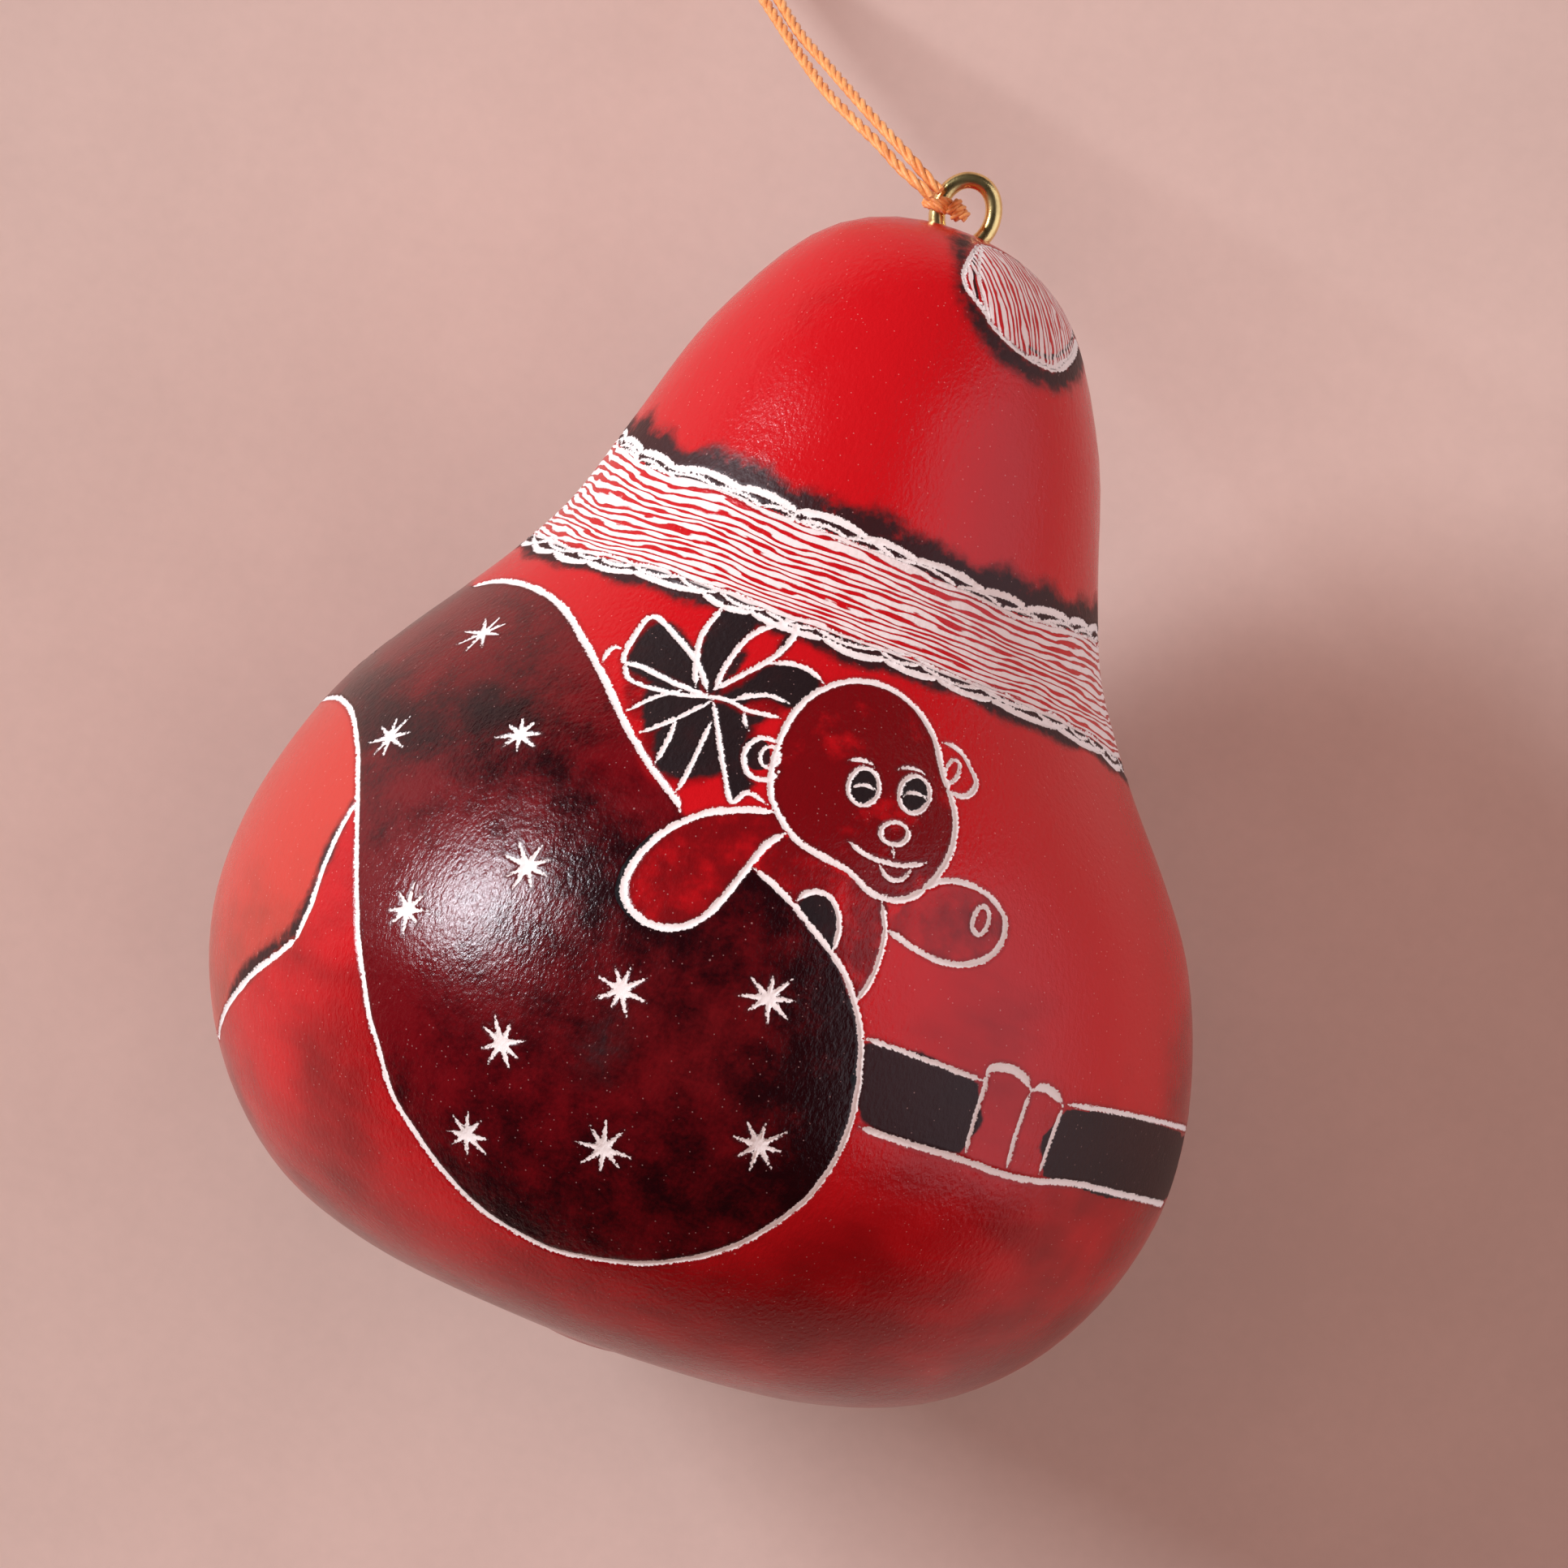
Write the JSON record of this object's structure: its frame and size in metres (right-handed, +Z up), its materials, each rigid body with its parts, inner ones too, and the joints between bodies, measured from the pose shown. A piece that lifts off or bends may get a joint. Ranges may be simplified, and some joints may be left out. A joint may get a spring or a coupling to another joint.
{
  "type": "gourd ornament",
  "caption": "Dyed and engraved dried gourd ornament lying on its side, with a brass screw eye in its crown and a doubled hanging cord.",
  "frame": {"origin": "middle of the small flat spot under the belly that the gourd rests on", "axes": "+Z up from the table, +Y along the gourd from its base to its crown, +X across it"},
  "size_m": [0.0674, 0.1153, 0.0648],
  "materials": {
    "dyed_gourd": "dyed red, burnt and engraved, waxed to a soft shine",
    "brass_wire": "bright",
    "twisted_cord": "golden orange, three-ply, with a soft sheen"
  },
  "bodies": {
    "root": {"gourd": "dyed_gourd", "screw_eye": "brass_wire", "cord_knot": "twisted_cord", "hanging_cord": "twisted_cord"}
  },
  "joints": []
}
